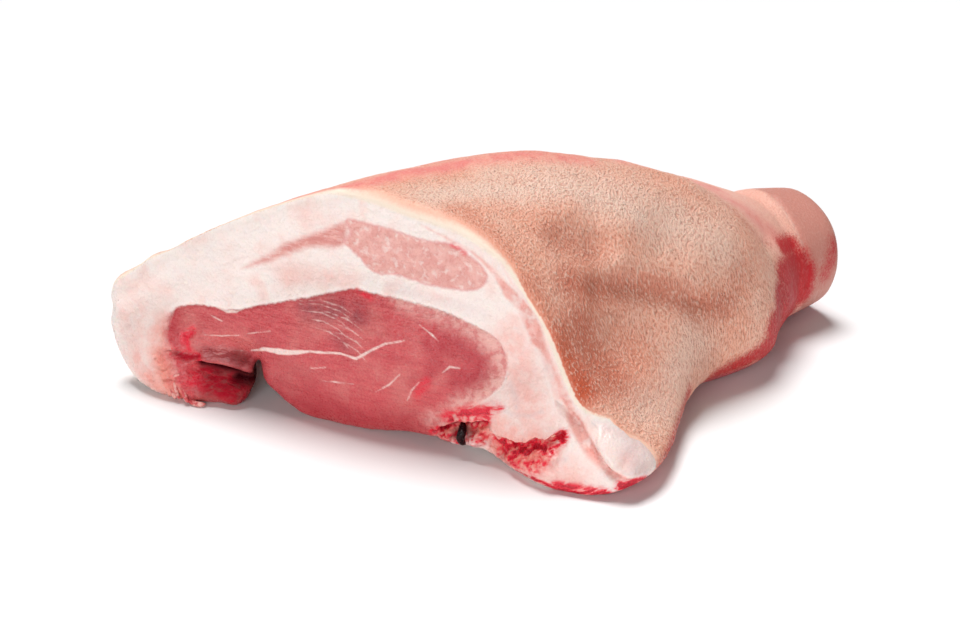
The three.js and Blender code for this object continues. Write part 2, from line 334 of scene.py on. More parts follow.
# The cut end of the shank starts here and faces this way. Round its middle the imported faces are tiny.
END_START = 236
END_FACING = np.array((0.848, -0.53, 0.0))
END_MIDDLE = np.array((253.1, -14.6, 33.4))
END_TINY = 10.0
# Where the cut reaches round corners, as (gain, radius, place): the knob at the tip of the flap, and the
# walls of the hollow beside the breast lobe
HOLLOW = (10, 208, 14)
CORNERS = ((0.8, 19, (-1, -4, 20)), (4.0, 30, HOLLOW))
# Depth in mm that a field has far inside or outside of what it marks
WELL_INSIDE = 5
WELL_OUTSIDE = -5
NO_CUT = -20.0

# A body dives over this span in mm of the cut field. Over the deep span, the hidden rind also sinks behind
# the sawn face, and by a share of that along its normals.
DIVE_SPAN = (0, 3)
DEEP_SPAN = (3, 10)
DEEP_DIVE = 8.0
DEEP_SHARE = 0.4
# Spots with less than this of a field count as its edge.
EDGE_GRIP = 0.8
# Width in mm of the pale edge of the rind on the flank and at the top, the heights between which it widens,
# and the heights between which it ends
RIM_WIDTHS = (0.7, 3.2)
RIM_WIDENS = (95, 118)
RIM_ENDS = (42, 30)
# How far in mm the cream fat reaches from the edge of the saw cut, and the share of the cut field that the
# relief of the hidden flesh follows
CREAM_REACH = 2
HIDDEN_SHARE = 0.3
# Smooth skin at the neck and the shank: across for each mm along, and the span over which it starts
NECK = (0.43, (158, 174))
SHANK = (-0.67, (227, 231))
# How much smoother than other skin the neck, the shank and the pink ridge are, and the spans over which the
# grain of the skin starts, in widths of the rim from it and in mm of the cut field
NECK_SMOOTH = 0.6
SHANK_SMOOTH = 0.5
RIDGE_SMOOTH = 0.6
GRAIN_FROM_RIM = (0.5, 3)
GRAIN_FROM_CUT = (1, -3)

# Packed points closer than this in mm are one, and packed triangles join to four-sided faces up to this
# bend between them and this skew of a corner.
MERGE_GAP = 0.01
JOIN_BEND = math.radians(60)
JOIN_SKEW = math.radians(80)
# Faces wider than this in mm are split at each level of detail.
WIDEST = (1.1, 0.9, 0.5)
# The flesh is fine at most this far in mm outside the cut, where it turns to the saw by at least this or lies
# within this radius of the hollow. Its second level is for spots near lean, near the edge of the cut or low
# at the crags, and its third for torn spots.
CUT_MARGIN = 3
FACE_TURN = 0.2
HOLLOW_RADIUS = 24
LEAN_MARGIN = 4
CRAG_HEIGHT = 40
LEAST_TORN = 0.25
# The side of the sawn face and the elbow flap, where the rind is finest, and the levels of its detail, as
# (most cut field, least turn to that side, end along, how often new points are smoothed)
SHOWN_SIDE = np.array((-0.6, -0.6, 0.5))
RIND_LEVELS = ((4, -0.3, math.inf, 2), (3, 0.3, 215, 1))

# How fibres of lean stretch, and how far the streaks of blood rise to the elbow side
FIBRE_STRETCH = (1, 0.14, 1)
STREAK_TILT = math.radians(22)
# Seeds of the relief of each body, and the sizes that it takes
FLESH_SEED = 3.0
RIND_SEED = 7.0
FLESH_SIZES = ("Lump size", "Lump depth", "Fibre size", "Fibre depth", "Tear size", "Tear depth")
RIND_SIZES = ("Crease size", "Crease depth")

# Rings along a strand and sides of a ring, the width of its tips, and a direction that no strand follows
STRAND_RINGS = 14
STRAND_SIDES = 12
STRAND_TIP = 0.2
STRAND_ASIDE = (0.3, 0.2, 0.93)

# Side of the front light, and where it points
FRONT_SIZE = 1.0
FRONT_AIM = (0, 0, 0.05)


def tint(red, green, blue):
    """Scene-linear colour of an 8-bit screen colour."""
    def linear(level):
        level /= 255
        return level / 12.92 if level <= 0.04045 else ((level + 0.055) / 1.055) ** 2.4
    return linear(red), linear(green), linear(blue)


def number(name, description, default, **settings):
    """Property of one number."""
    return bpy.props.FloatProperty(name=name, description=description, default=default, **settings)


def triple(name, description, default, subtype, **settings):
    """Property of three numbers."""
    return bpy.props.FloatVectorProperty(
        name=name, description=description, default=default, subtype=subtype, **settings)


def colour(name, description, default):
    """Property of one colour."""
    return triple(name, description, default, "COLOR", min=0, max=1)


def length(name, description, default):
    """Property of one length in metres."""
    return number(name, description, default, min=0, unit="LENGTH", precision=4)


def angle(name, description, degrees):
    """Property of one angle."""
    return number(name, description, math.radians(degrees), subtype="ANGLE")


def place(name, description, default):
    """Property of one place in metres."""
    return triple(name, description, default, "TRANSLATION", unit="LENGTH")


class JointSizes(bpy.types.PropertyGroup):
    """Sizes of the detail on the rind and the flesh."""

    dive: length("Rind thickness", "How deep each body dives under the other", 2.5 * MM)
    crease_size: length("Crease size", "Distance between the creases of the skin", 6 * MM)
    crease_depth: length("Crease depth", "Depth of the creases of the skin", 0.5 * MM)
    pore_size: length("Pore spacing", "Distance between the pores of the skin", 1.2 * MM)
    lump_size: length("Lump size", "Distance between the lumps of the fat", 13 * MM)
    lump_depth: length("Lump depth", "Height of the lumps of the fat", 1.6 * MM)
    fibre_size: length("Fibre size", "Distance between the fibres of the lean", 1.8 * MM)
    fibre_depth: length("Fibre depth", "Depth of the grooves between the fibres", 0.4 * MM)
    tear_size: length("Tear size", "Distance between the torn shreds at the crags", 3.5 * MM)
    tear_depth: length("Tear depth", "Height of the torn shreds at the crags", 5 * MM)


class JointColours(bpy.types.PropertyGroup):
    """Colours of the rind and the flesh."""

    fat: colour("Fat", "Firm white fat", tint(246, 231, 225))
    pink_fat: colour("Pink fat", "Fat tinged with lean", tint(242, 184, 174))
    cream: colour("Cream", "Fat beside the rind", tint(251, 230, 212))
    lean: colour("Lean", "Lean of the main muscle", tint(208, 84, 88))
    # Dark lean of the grain and the red patches, also painted shade along the main muscle's bottom
    dark_lean: colour("Dark lean", "Shaded grain of the lean", tint(182, 50, 60))
    pale_lean: colour("Pale lean", "Lean of the upper muscle", tint(233, 176, 167))
    grain: colour("Grain", "Darker grain of the pale lean", tint(214, 136, 128))
    # Purple patches of the lean, and painted shade on the roll in the fold
    purple: colour("Purple", "Aged patches of the lean", tint(150, 68, 74))
    strip: colour("Strip", "Thin muscle under the skin", tint(226, 156, 146))
    # Colour of the silver skin and fibres, and of the painted glints
    sinew_and_painted_glint: colour("Sinew", "Silver skin and fibres", tint(247, 219, 211))
    blood: colour("Blood", "Fresh blood on the crags", tint(228, 34, 58))
    dark_blood: colour("Dark blood", "Clots on the crags", tint(150, 10, 26))
    # Colour of the painted shade in the fold and under the ledges, and of the clotted vein's dark mottle
    deep: colour("Deep shade", "Depths of the folds", tint(48, 0, 6))
    salmon: colour("Salmon", "Torn lumps at the crags", tint(236, 142, 126))
    # Colour of the painted shade on the fat's creases and on the knob's side
    painted_fat_shade: colour("Lilac", "Shaded creases of the fat", tint(216, 196, 196))
    vein: colour("Vein", "Clotted vein", tint(22, 2, 4))
    skin: colour("Skin", "Skin of the elbow side", tint(248, 180, 154))
    # Colour of the pores and of the painted shade in the skin's hollows and between its pebbles
    skin_shade: colour("Skin shade", "Pores and creases of the skin", tint(200, 112, 88))
    ridge: colour("Ridge", "Pink skin along the ridge", tint(240, 142, 134))
    scald: colour("Scald", "Browned skin beside the saw cut", tint(208, 94, 62))
    flush: colour("Flush", "Bruised skin at the shank", tint(200, 18, 36))
    # Pale skin, also the colour of painted light on the top, on the flap and on the pebbles
    pale_skin_and_painted_light: colour("Pale skin", "Pale skin of the top and the flap", tint(251, 215, 196))
    neck: colour("Neck", "Smooth skin before the shank", tint(252, 190, 174))
    # Smooth skin of the shank, darker partly by its own redder tone, partly as painted shade of its side
    # turned from the light
    shank: colour("Shank", "Smooth skin of the shank", tint(198, 128, 116))


class StageSettings(bpy.types.PropertyGroup):
    """Camera, lights and floor."""

    azimuth: angle("Azimuth", "Direction of the camera round the joint", -66)
    elevation: angle("Elevation", "Height of the camera above the horizon", 25)
    lens: number("Lens", "Focal length of the camera in millimetres", 70, min=1, unit="CAMERA")
    camera_place: place("Camera place", "Where the camera stands", (-0.8701, -0.3814, 0.4557))
    floor_size: length("Floor size", "Side of the floor", 12.0)
    floor: colour("Floor", "Pale floor", (0.94, 0.94, 0.94))
    top_strength: number("Top strength", "Strength of the light above the joint", 3.2, min=0)
    top_width: angle("Top width", "Angle that the light above fills", 28)
    top_from: triple("Top direction", "Where the light above comes from", (0.22, 0.24, 0.94), "DIRECTION")
    front_power: number("Front power", "Power of the light before the sawn face", 13.5, min=0, unit="POWER")
    front_place: place("Front place", "Where the light before the sawn face stands", (-1.6, -0.35, 0.5))
    sky: number("Sky", "Strength of the even light from all sides", 0.08, min=0)


class Graph:
    """A node tree written as formulas: each call adds a node and gives back its output."""

    def __init__(self, tree):
        self.tree = tree

    def node(self, kind, inputs=(), **settings):
        """A new node with its settings, and its inputs linked or set by name or number."""
        made = self.tree.nodes.new(kind)
        for key, value in settings.items():
            setattr(made, key, value)
        for key, value in dict(inputs).items():
            self.feed(made.inputs[key], value)
        return made

    def feed(self, socket, value):
        """Links or sets one input."""
        if isinstance(value, bpy.types.NodeSocket):
            self.tree.links.new(value, socket)
        elif socket.type == "RGBA" and len(value) == 3:
            socket.default_value = (*value, 1)
        else:
            socket.default_value = value

    def math(self, operation, *values, clamp=False):
        """Result of a math node."""
        inputs = dict(enumerate(values))
        return self.node("ShaderNodeMath", inputs, operation=operation, use_clamp=clamp).outputs[0]

    def rise(self, value, start, end, low=0.0, high=1.0):
        """A smooth step from low to high between two values."""
        inputs = {"Value": value, "From Min": start, "From Max": end, "To Min": low, "To Max": high}
        return self.node("ShaderNodeMapRange", inputs, interpolation_type="SMOOTHSTEP").outputs[0]

    def times(self, first, second):
        """Product of two values."""
        return self.math("MULTIPLY", first, second)

    def mix(self, share, first, second):
        """Two colours mixed."""
        node = self.node("ShaderNodeMix", data_type="RGBA")
        for key, value in ((0, share), (6, first), (7, second)):
            self.feed(node.inputs[key], value)
        return node.outputs[2]

    def coats(self, ground, *coats):
        """A ground colour under coats of (share, colour)."""
        for share, coat in coats:
            ground = self.mix(share, ground, coat)
        return ground

    def field(self, name):
        """A number stored on the mesh, in a material."""
        return self.node("ShaderNodeAttribute", attribute_name=name).outputs["Fac"]

    def stretched(self, spot, size, stretch):
        """Coordinates whose unit is that size in metres, over its stretch."""
        scale = [part / size for part in stretch]
        return self.node("ShaderNodeMapping", {"Vector": spot, "Scale": scale}).outputs[0]

    def noise(self, spot, size, stretch=(1, 1, 1), detail=3.0, roughness=0.55, twist=0.0):
        """Noise whose blots are about size metres across."""
        inputs = {"Vector": self.stretched(spot, size, stretch), "Scale": 1.0, "Detail": detail,
                  "Roughness": roughness, "Distortion": twist}
        return self.node("ShaderNodeTexNoise", inputs).outputs[0]

    def cells(self, spot, size, stretch=(1, 1, 1)):
        """Distance from the middles of cells that are about size metres across."""
        inputs = {"Vector": self.stretched(spot, size, stretch), "Scale": 1.0}
        return self.node("ShaderNodeTexVoronoi", inputs).outputs["Distance"]


def measured(points):
    """Places in mm from the measuring spot, for points in metres."""
    return (points - np.array(MEASURED_FROM)) / MM


def smooth_step(values, start, end):
    """Smooth step from 0 to 1 between two values."""
    share = np.clip((values - start) / (end - start), 0, 1)
    return share * share * (3 - 2 * share)


def rounded(points, steps=8):
    """A closed curve through points, as a polygon."""
    knots = np.array(points, float)
    before, after, beyond = (np.roll(knots, turn, axis=0) for turn in (1, -1, -2))
    share = (np.arange(steps) / steps)[:, None, None]
    slope = after - before
    bend = 2 * before - 5 * knots + 4 * after - beyond
    twist = 3 * knots - before - 3 * after + beyond
    curve = knots + 0.5 * (slope * share + bend * share ** 2 + twist * share ** 3)
    return curve.transpose(1, 0, 2).reshape(-1, 2)


def nearest(spots, path):
    """Each spot's distance to a path, how many stretches along the path that is, and its side of the path."""
    path = np.array(path, float)
    gap = np.full(len(spots), np.inf)
    along, side = np.zeros((2, len(spots)))
    for index, (start, span) in enumerate(zip(path[:-1], np.diff(path, axis=0))):
        away = spots - start
        share = np.clip(away @ span / (span @ span), 0, 1)
        distance = np.linalg.norm(away - share[:, None] * span, axis=1)
        closer = distance < gap
        gap[closer] = distance[closer]
        along[closer] = index + share[closer]
        side[closer] = np.sign(span[0] * away[closer, 1] - span[1] * away[closer, 0])
    return gap, along, side


def inside(spots, outline):
    """Signed distance in mm from a closed outline, above 0 inside."""
    loop = rounded(outline)
    loop = np.vstack([loop, loop[:1]])
    gap, _, _ = nearest(spots, loop)
    crossings = np.zeros(len(spots), int)
    for (across, up), (next_across, next_up) in zip(loop[:-1], loop[1:]):
        spans = (up > spots[:, 1]) != (next_up > spots[:, 1])
        reach = across + (spots[:, 1] - up) * (next_across - across) / (next_up - up or 1)
        crossings += spans & (spots[:, 0] < reach)
    return np.where(crossings % 2 == 1, gap, -gap)


def band(spots, path):
    """Signed distance in mm from the edge of a band with half widths, above 0 inside."""
    path = np.array(path, float)
    gap, along, _ = nearest(spots, path[:, :-1])
    return np.interp(along, np.arange(len(path)), path[:, -1]) - gap


def threads():
    """Bands of the fine threads that lie between the first and the last, swaying unevenly."""
    first, last = np.array(FIRST_THREAD), np.array(LAST_THREAD)
    for share in np.linspace(0, 1, THREADS):
        sway = math.sin(THREAD_WAVE * share)
        path = first + share * (last - first) + sway * THREAD_SWAY
        yield np.column_stack([path, THREAD_WIDTHS + sway * THREAD_SWELL])


def strokes_at(spots, strokes):
    """What each stroke gives at each spot: its strength on its path, fading to 0 at its radius."""
    for strength, radius, path in strokes:
        yield strength * smooth_step(nearest(spots, path)[0], radius, 0)


def wash(spots, strokes):
    """Strength of a wash, where the strongest stroke shows."""
    return np.max(list(strokes_at(spots, strokes)), axis=0)


def under_ledge(face, path, reach):
    """1 just under a ledge's line, fading to 0 over its reach and at its ends."""
    gap, along, side = nearest(face, path)
    ends = smooth_step(np.minimum(along, len(path) - 1 - along), *LEDGE_ENDS)
    return ends * smooth_step(gap * side, *LEDGE_LIP) * smooth_step(gap * side, reach, 1)


def ledge_shade(face):
    """Painted shade under the ledges at each spot."""
    return np.max([shade * under_ledge(face, path, fade) for _, _, shade, fade, path in LEDGES], axis=0)


def face_dents(spots):
    """Depth in mm of the sawn face's dents at each spot."""
    face = spots[:, 1:]
    knob = KNOB_HEIGHT * smooth_step(inside(face, KNOB), *KNOB_SPAN)
    ledges = sum(depth * under_ledge(face, path, reach) for depth, reach, _, _, path in LEDGES)
    depths = sum(strokes_at(face, FACE_DENTS)) + ledges - knob
    return depths * smooth_step(spots[:, 0], *DENT_FADE)


def lean_depth(face):
    """Signed distance in mm from the edge of the main muscle and its fold, above 0 inside."""
    return np.maximum(inside(face, MAIN_MUSCLE), inside(face, FOLD_OF_LEAN))


def cut_fields(spots, normals):
    """How far in mm a place lies inside the saw cut, and inside any cut surface; below 0 on the rind."""
    along, up = spots[:, 0], spots[:, 2]
    near = along < SAWN_REACH
    turn = -normals[near, 0] - SAWN_TURN
    for gain, radius, place in CORNERS:
        turn += gain * np.clip(1 - np.linalg.norm(spots[near] - place, axis=1) / radius, 0, 1)
    sawn = np.full(len(spots), NO_CUT)
    sawn[near] = np.minimum(inside(spots[near, 1:], SAWN_EDGE), TURN_RATE * turn)
    under = np.minimum(TURN_RATE * (-normals[:, 2] - UNDER_TURN), UNDER_HEIGHT - up)
    end = np.where(along > END_START, TURN_RATE * (normals @ END_FACING - END_TURN), NO_CUT)
    return sawn, np.maximum.reduce([sawn, under, end])


def read_mesh(mesh):
    """Points and normals of a mesh as arrays."""
    points = np.empty(3 * len(mesh.vertices))
    normals = np.empty(3 * len(mesh.vertices))
    mesh.vertices.foreach_get("co", points)
    mesh.vertex_normals.foreach_get("vector", normals)
    return points.reshape(-1, 3), normals.reshape(-1, 3)


def write_points(mesh, points):
    """Moves a mesh's vertices."""
    mesh.vertices.foreach_set("co", points.ravel())
    mesh.update()


def write_field(mesh, name, values):
    """Stores a number for each vertex."""
    layer = mesh.attributes.new(name, "FLOAT", "POINT")
    layer.data.foreach_set("value", np.asarray(values, dtype=np.float32))


def plain_mesh(piece):
    """Turns a piece and its modifiers into a plain mesh."""
    graph = bpy.context.evaluated_depsgraph_get()
    mesh = bpy.data.meshes.new_from_object(piece.evaluated_get(graph))
    piece.modifiers.clear()
    old = piece.data
    piece.data = mesh
    bpy.data.meshes.remove(old)
    mesh.name = piece.name


def new_piece(name, mesh):
    """A new object in the scene."""
    piece = bpy.data.objects.new(name, mesh)
    bpy.context.scene.collection.objects.link(piece)
    return piece


def joint_copy(name):
    """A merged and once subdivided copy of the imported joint."""
    mesh = bpy.data.meshes.new(name)
    shape = bmesh.new()
    shape.from_mesh(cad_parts[NODE].data)
    bmesh.ops.remove_doubles(shape, verts=shape.verts, dist=MERGE_GAP * MM)
    middle = MEASURED_FROM + Vector(END_MIDDLE) * MM
    tiny = [vert for vert in shape.verts if (vert.co - middle).length < END_TINY * MM]
    bmesh.ops.pointmerge(shape, verts=tiny, merge_co=sum((vert.co for vert in tiny), Vector()) / len(tiny))
    bmesh.ops.join_triangles(
        shape, faces=shape.faces, angle_face_threshold=JOIN_BEND, angle_shape_threshold=JOIN_SKEW)
    for layer in list(shape.loops.layers.uv):
        shape.loops.layers.uv.remove(layer)
    shape.to_mesh(mesh)
    shape.free()
    mesh.materials.clear()
    piece = new_piece(name, mesh)
    smooth = piece.modifiers.new("Smooth", "SUBSURF")
    smooth.levels = smooth.render_levels = 1
    plain_mesh(piece)
    return piece


def densify(mesh, chosen, passes):
    """Splits the chosen faces in four, smooths the new points, and drops points that split no face."""
    shape = bmesh.new()
    shape.from_mesh(mesh)
    shape.faces.ensure_lookup_table()
    faces = [shape.faces[index] for index in np.flatnonzero(chosen)]
    edges = {edge for face in faces for edge in face.edges}
    made = bmesh.ops.subdivide_edges(shape, edges=list(edges), cuts=1, use_grid_fill=True)
    points = {item for item in made["geom"] if isinstance(item, bmesh.types.BMVert)}
    for _ in range(passes):
        bmesh.ops.smooth_vert(
            shape, verts=list(points), factor=0.5, use_axis_x=True, use_axis_y=True, use_axis_z=True)
    bmesh.ops.dissolve_verts(shape, verts=[vert for vert in shape.verts if len(vert.link_edges) == 2])
    shape.to_mesh(mesh)
    shape.free()


def face_values(mesh, values):
    """Mean of the vertices' values on each face."""
    return np.array([values[list(face.vertices)].mean() for face in mesh.polygons])


def face_cut(mesh):
    """Cut field, place, normal and width in mm of each face."""
    points, normals = read_mesh(mesh)
    field = face_values(mesh, cut_fields(measured(points), normals)[1])
    centres = np.array([face.center for face in mesh.polygons])
    turns = np.array([face.normal for face in mesh.polygons])
    widths = np.sqrt([face.area for face in mesh.polygons]) / MM
    return field, measured(centres), turns, widths


def carve(mesh, sign, depth):
    """Presses in the dents, and all of the surface where the other body shows.

    The dents of the sawn face run straight into it, and those of the skin along its normals. The sign is 1
    for the rind and -1 for the flesh. Gives the places and the cut fields.
    """
    points, normals = read_mesh(mesh)
    spots = measured(points)
    sawn, cut = cut_fields(spots, normals)
    depths = sum(strokes_at(spots, SKIN_DENTS)) * MM + depth * smooth_step(sign * cut, *DIVE_SPAN)
    pressed = face_dents(spots) * MM
    if sign > 0:
        sunk = DEEP_DIVE * MM * smooth_step(sawn, *DEEP_SPAN)
        depths += DEEP_SHARE * sunk
        pressed += sunk
    points = points - normals * depths[:, None]
    points[:, 0] += pressed
    write_points(mesh, points)
    return spots, sawn, cut


def from_edge(spots, field):
    """Distance in mm of each spot from the line where a field is 0."""
    line = spots[abs(field) < EDGE_GRIP]
    tree = KDTree(len(line))
    for index, spot in enumerate(line):
        tree.insert(spot, index)
    tree.balance()
    return np.array([tree.find(spot)[2] for spot in spots])


def finish(piece, material):
    """Gives a finished piece its material, its smooth shading and its place in the frame."""
    piece.data.materials.clear()
    piece.data.materials.append(material)
    piece.data.polygons.foreach_set("use_smooth", [True] * len(piece.data.polygons))
    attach(piece, BODY)


def new_material(name):
    """An empty material with its graph and its object coordinates."""
    material = bpy.data.materials.new(name)
    material.use_nodes = True
    material.node_tree.nodes.clear()
    graph = Graph(material.node_tree)
    spot = graph.node("ShaderNodeTexCoord").outputs["Object"]
    return material, graph, spot


def close_material(graph, inputs, height, distance):
    """Shader with a bump and the material's output."""
    bump = graph.node("ShaderNodeBump", {"Height": height, "Distance": distance, "Strength": 1.0})
    inputs = {**inputs, "Subsurface Scale": 1.0, "Normal": bump.outputs[0]}
    shader = graph.node("ShaderNodeBsdfPrincipled", inputs)
    graph.node("ShaderNodeOutputMaterial", {"Surface": shader.outputs[0]})


def flesh_material(sizes, colours):
    """Wet lean in white fat, with blood at the crags, painted shade in the fold and under the ledges, and
    painted glints.
    """
    material, graph, spot = new_material("flesh")
    cloud = graph.noise(spot, 22 * MM)
    blots = graph.noise(spot, 6 * MM, detail=2)
    flecks = graph.noise(spot, 1.2 * MM, detail=1)
    fibres = graph.noise(spot, sizes.fibre_size, FIBRE_STRETCH, detail=2, twist=0.5)
    ragged = graph.noise(spot, 4 * MM, detail=3)
    tilted = graph.node("ShaderNodeMapping", {"Vector": spot, "Rotation": (STREAK_TILT, 0, 0)}).outputs[0]
    streaks = graph.noise(tilted, 2.5 * MM, (1, 0.3, 1), detail=3, twist=0.4)
    torn = graph.field("torn")
    loose = graph.math("MULTIPLY_ADD", torn, 9.0, 2.5)
    edge = graph.times(graph.math("SUBTRACT", ragged, 0.5), loose)

    pink = graph.times(graph.field("pink_fat"), graph.rise(blots, 0.3, 0.65, 0.5, 1.0))
    pink = graph.math("ADD", pink, graph.rise(cloud, 0.45, 0.8, 0.0, 0.35), clamp=True)
    fat = graph.coats(
        colours.fat,
        (pink, colours.pink_fat),
        (graph.rise(graph.field("lumps"), 0.0, -0.2, 0.0, 0.4), colours.pink_fat),
        # Painted shade in the creases of the fat and on the knob's side
        (graph.times(graph.field("painted_fat_shade"), 0.8), colours.painted_fat_shade),
        (graph.times(torn, 0.95), colours.salmon),
        (graph.field("cream"), colours.cream))

    # Red patches of the lean, and painted shade along the main muscle's bottom
    red = graph.times(graph.field("red_lean"), graph.rise(blots, 0.3, 0.65, 0.6, 1.0))
    # Purple patches, and painted shade on the roll in the fold
    purple_and_painted_shade = graph.times(graph.field("purple"), graph.rise(blots, 0.3, 0.65, 0.5, 0.95))
    pale = graph.times(graph.field("pale_grain"), graph.rise(ragged, 0.35, 0.6, 0.4, 1.0))
    lean = graph.coats(
        colours.lean,
        (graph.rise(fibres, 0.35, 0.7, 0.0, 0.5), colours.dark_lean),
        (graph.rise(cloud, 0.4, 0.7, 0.0, 0.4), colours.grain),
        (graph.rise(flecks, 0.56, 0.7, 0.0, 0.3), colours.grain),
        (red, colours.dark_lean),
        (purple_and_painted_shade, colours.purple),
        (pale, colours.pale_lean))

    upper_edge = graph.math("ADD", graph.field("upper_lean"), edge)
    soft = graph.coats(
        colours.pale_lean,
        (graph.rise(blots, 0.35, 0.65, 0.0, 0.5), colours.grain),
        (graph.rise(ragged, 0.5, 0.7, 0.0, 0.5), colours.fat),
        (graph.rise(graph.math("ABSOLUTE", upper_edge), 1.8, 0.0, 0.0, 0.6), colours.lean))
    wedge = graph.mix(graph.rise(fibres, 0.35, 0.65, 0.1, 0.9), soft, colours.grain)
    strip = graph.mix(graph.rise(ragged, 0.4, 0.62, 0.0, 0.7), colours.strip, colours.pink_fat)

    width = graph.math("MULTIPLY_ADD", torn, 8.0, 0.8)
    lean_edge = graph.math("ADD", graph.field("lean"), edge)
    lean_part = graph.rise(lean_edge, graph.times(width, -1.0), width)
    strip_edge = graph.math("MULTIPLY_ADD", edge, 0.8, graph.field("skin_lean"))
    strip_part = graph.times(graph.rise(strip_edge, -1.2, 1.6), graph.rise(blots, 0.35, 0.6, 0.35, 1.0))
    # Silver skin, fibres and painted glints
    sinew_and_painted_glint = graph.math("MULTIPLY_ADD", edge, 0.35, graph.field("sinew_and_painted_glint"))
    pits = graph.rise(graph.field("tears"), 0.14, -0.1, 0.35, 1.1)
    pits = graph.math("MAXIMUM", pits, graph.rise(torn, 0.5, 0.0))
    spill = graph.times(graph.field("blood"), graph.rise(streaks, 0.3, 0.62, 0.35, 1.2))
    spill = graph.times(spill, pits)
    # Painted shade in the fold and under the ledges, which also reflects less there
    deep = graph.math("MINIMUM", graph.field("deep"), 1.0)
    surface = graph.coats(
        fat,
        (graph.rise(graph.math("ADD", graph.field("wedge"), edge), -1.5, 3.0), wedge),
        (graph.rise(upper_edge, -1.0, 1.6), soft),
        (strip_part, strip),
        (lean_part, lean),
        (graph.rise(sinew_and_painted_glint, -0.4, 0.7, 0.0, 0.95), colours.sinew_and_painted_glint),
        (graph.rise(spill, 0.0, 0.9), colours.blood),
        (graph.rise(spill, 0.8, 1.3, 0.0, 0.6), colours.dark_blood),
        (deep, colours.deep))

    height = graph.math("MULTIPLY_ADD", fibres, lean_part, graph.times(flecks, 0.3))
    height = graph.math("MULTIPLY_ADD", ragged, 1.5, height)
    shader = {"Base Color": surface, "Roughness": graph.rise(flecks, 0.35, 0.65, 0.25, 0.45),
              "Specular IOR Level": graph.rise(deep, 0.0, 0.6, 0.45, 0.02), "Subsurface Weight": 0.2,
              "Subsurface Radius": (0.004, 0.0015, 0.001)}
    close_material(graph, shader, height, 0.6 * MM)
    return material


def rind_material(sizes, colours):
    """Scalded skin with pores, creases and flushed patches, painted shade in its hollows and painted light on
    its top, its flap and its pebbles.
    """
    material, graph, spot = new_material("rind")
    cloud = graph.noise(spot, 26 * MM)
    speck = graph.noise(spot, 1.2 * MM, detail=3, roughness=0.65)
    sway = graph.noise(spot, 7 * MM)
    grain = graph.noise(spot, sizes.pore_size, (1, 1, 0.45), detail=2)
    pores = graph.cells(spot, sizes.pore_size, (1, 1, 0.5))
    pebbled = graph.field("pebbled")

    scalded = graph.times(graph.field("tan"), graph.rise(cloud, 0.2, 0.6, 0.65, 1.0))
    rosy = graph.times(graph.field("ridge"), graph.rise(sway, 0.3, 0.65, 0.5, 1.0))
    bruise = graph.math("ADD", graph.field("flush"), graph.math("MULTIPLY_ADD", speck, 1.2, -0.6))
    bruised = graph.rise(bruise, 0.1, 0.9, 0.0, 0.95)
    pits = graph.times(graph.rise(pores, 0.35, 0.05), graph.rise(sway, 0.4, 0.6, 0.2, 1.0))
    # Pores, and painted shade between the pebbles of the skin
    pores_and_painted_shade = graph.math("MULTIPLY_ADD", pits, 0.25, graph.rise(grain, 0.52, 0.3, 0.0, 0.5))
    # Painted highlights on the pebbles of the skin
    light = graph.rise(grain, 0.5, 0.7, 0.0, 0.55)
    grained = graph.times(pebbled, graph.math("MULTIPLY_ADD", bruised, -0.7, 1.0))
    fat_edge = graph.math("ADD", graph.field("rim"), graph.math("MULTIPLY_ADD", speck, 0.8, -0.4))
    skin = graph.coats(
        colours.skin,
        (graph.rise(cloud, 0.3, 0.75, 0.0, 0.4), colours.pale_skin_and_painted_light),
        # Painted light on the top and the flap
        (graph.field("pale"), colours.pale_skin_and_painted_light),
        # Painted shade in the hollows of the skin
        (graph.times(graph.field("painted_shade_on_skin"), 0.75), colours.skin_shade),
        (scalded, colours.scald),
        (graph.times(graph.field("neck"), 0.7), colours.neck),
        # Shank skin, partly painted shade of its side turned from the light
        (graph.times(graph.field("shank"), 0.8), colours.shank),
        (rosy, colours.ridge),
        (bruised, colours.flush),
        # Painted shade and painted highlights of the pebbles
        (graph.times(pores_and_painted_shade, grained), colours.skin_shade),
        (graph.times(light, grained), colours.pale_skin_and_painted_light),
        (graph.rise(fat_edge, 1.5, 0.0), colours.cream))

    height = graph.times(graph.math("MULTIPLY_ADD", pits, -0.4, grain), pebbled)
    roughness = graph.rise(grain, 0.3, 0.7, 0.6, 0.4)
    shader = {"Base Color": skin, "Roughness": roughness, "Specular IOR Level": 0.22,
              "Subsurface Weight": 0.12, "Subsurface Radius": (0.003, 0.0012, 0.0008)}
    close_material(graph, shader, height, 1.6 * MM)
    return material


def relief_tree(name, sizes):
    """An empty geometry tree with a named input for each size, as its graph, group input and group output."""
    tree = bpy.data.node_groups.new(name, "GeometryNodeTree")
    tree.interface.new_socket("Geometry", in_out="INPUT", socket_type="NodeSocketGeometry")
    tree.interface.new_socket("Geometry", in_out="OUTPUT", socket_type="NodeSocketGeometry")
    for label in sizes:
        tree.interface.new_socket(label, in_out="INPUT", socket_type="NodeSocketFloat")
    tree.interface.new_socket("Seed", in_out="INPUT", socket_type="NodeSocketFloat")
    tree.interface.new_socket("Material", in_out="INPUT", socket_type="NodeSocketMaterial")
    graph = Graph(tree)
    return graph, graph.node("NodeGroupInput").outputs, graph.node("NodeGroupOutput")


def stored(graph, name):
    """A stored number in a geometry tree."""
    return graph.node("GeometryNodeInputNamedAttribute", {"Name": name}, data_type="FLOAT").outputs[0]


